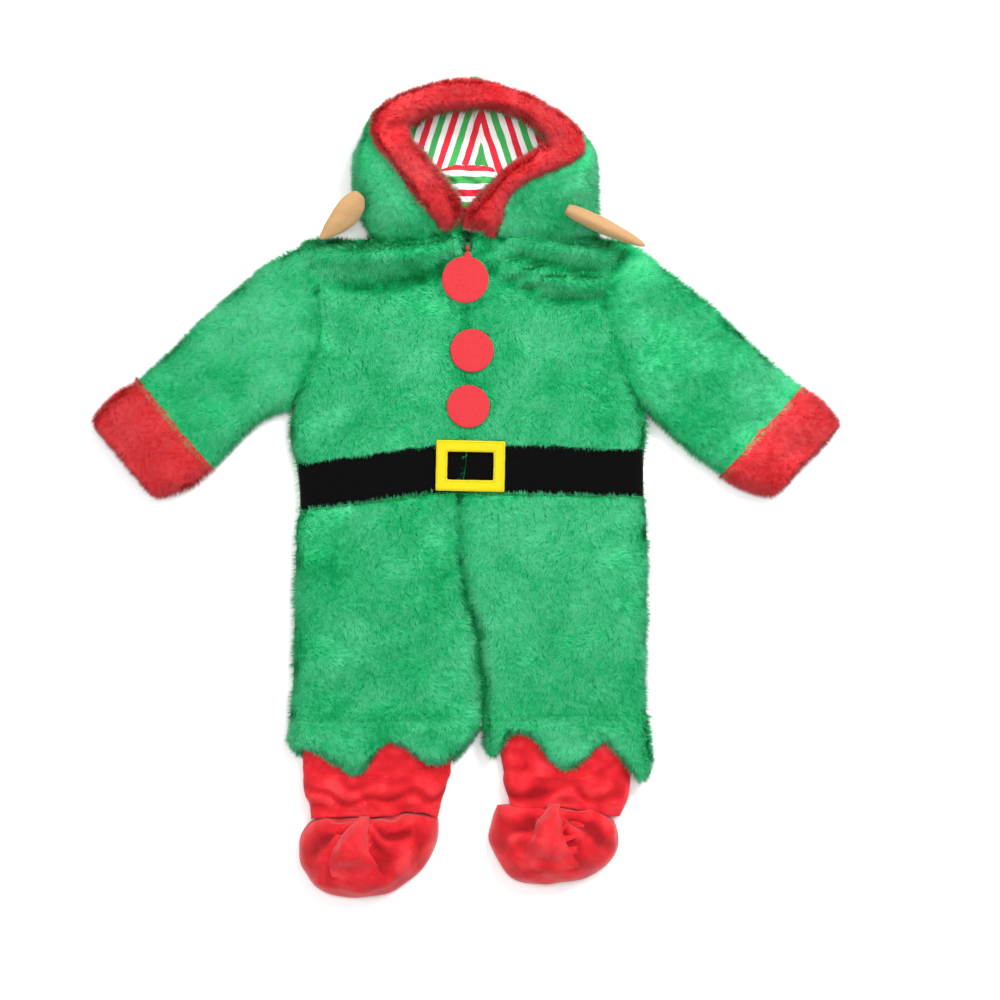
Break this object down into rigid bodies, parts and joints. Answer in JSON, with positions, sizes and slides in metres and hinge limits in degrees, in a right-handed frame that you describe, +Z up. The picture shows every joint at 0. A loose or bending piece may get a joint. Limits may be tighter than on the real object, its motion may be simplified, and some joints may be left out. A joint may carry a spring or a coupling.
{
  "type": "elf costume",
  "caption": "Baby's hooded elf coverall in green and red plush with ears, belt, felt discs and gathered booties, laid out flat on its back.",
  "frame": {"origin": "on the floor under the middle of the back, on the zip line level with the lower part of the belt", "axes": "+Z up out of the front, +Y towards the hood, +X towards the wearer's left"},
  "size_m": [0.6402, 0.6993, 0.0524],
  "materials": {
    "green_plush": "long-pile plush",
    "red_plush": "long-pile plush",
    "red_velour": "short crushed pile",
    "red_felt": "matt felt",
    "black_velvet": "short pile",
    "yellow_felt": "matt felt",
    "striped_jersey": "soft knit",
    "tan_fleece": "brushed fleece",
    "green_zip": "woven tape",
    "enamelled_zinc": "glossy enamel"
  },
  "bodies": {
    "garment": {"ankle_left": "red_velour", "ankle_right": "red_velour", "back_left": "green_plush", "back_right": "green_plush", "belt_left": "black_velvet", "belt_right": "black_velvet", "buckle": "yellow_felt", "button_lower": "red_felt", "button_middle": "red_felt", "cuff_left": "red_plush", "cuff_right": "red_plush", "ear_left": "tan_fleece", "ear_right": "tan_fleece", "foot_inside_left": "red_velour", "foot_inside_right": "red_velour", "foot_left": "red_velour", "foot_right": "red_velour", "front_left": "green_plush", "front_right": "green_plush", "hem_left": "green_plush", "hem_right": "green_plush", "hood_left": "green_plush", "hood_lining_left": "striped_jersey", "hood_lining_right": "striped_jersey", "hood_right": "green_plush", "hood_trim": "red_plush", "neck_lining": "striped_jersey", "sleeve_left": "green_plush", "sleeve_right": "green_plush", "sole_left": "red_velour", "sole_right": "red_velour", "toe_left": "red_velour", "toe_right": "red_velour", "zip_slider": "enamelled_zinc", "zip_tape_left": "green_zip", "zip_tape_right": "green_zip"},
    "pull": {"zip_pull": "red_felt", "pull_disc": "red_felt"}
  },
  "joints": [
    {"name": "pull_tip", "type": "hinge", "parent": "garment", "child": "pull", "pos_m": [-0.0018, 0.206, 0.01944], "axis": [-1, 0, 0], "range_deg": [0, 110]}
  ]
}
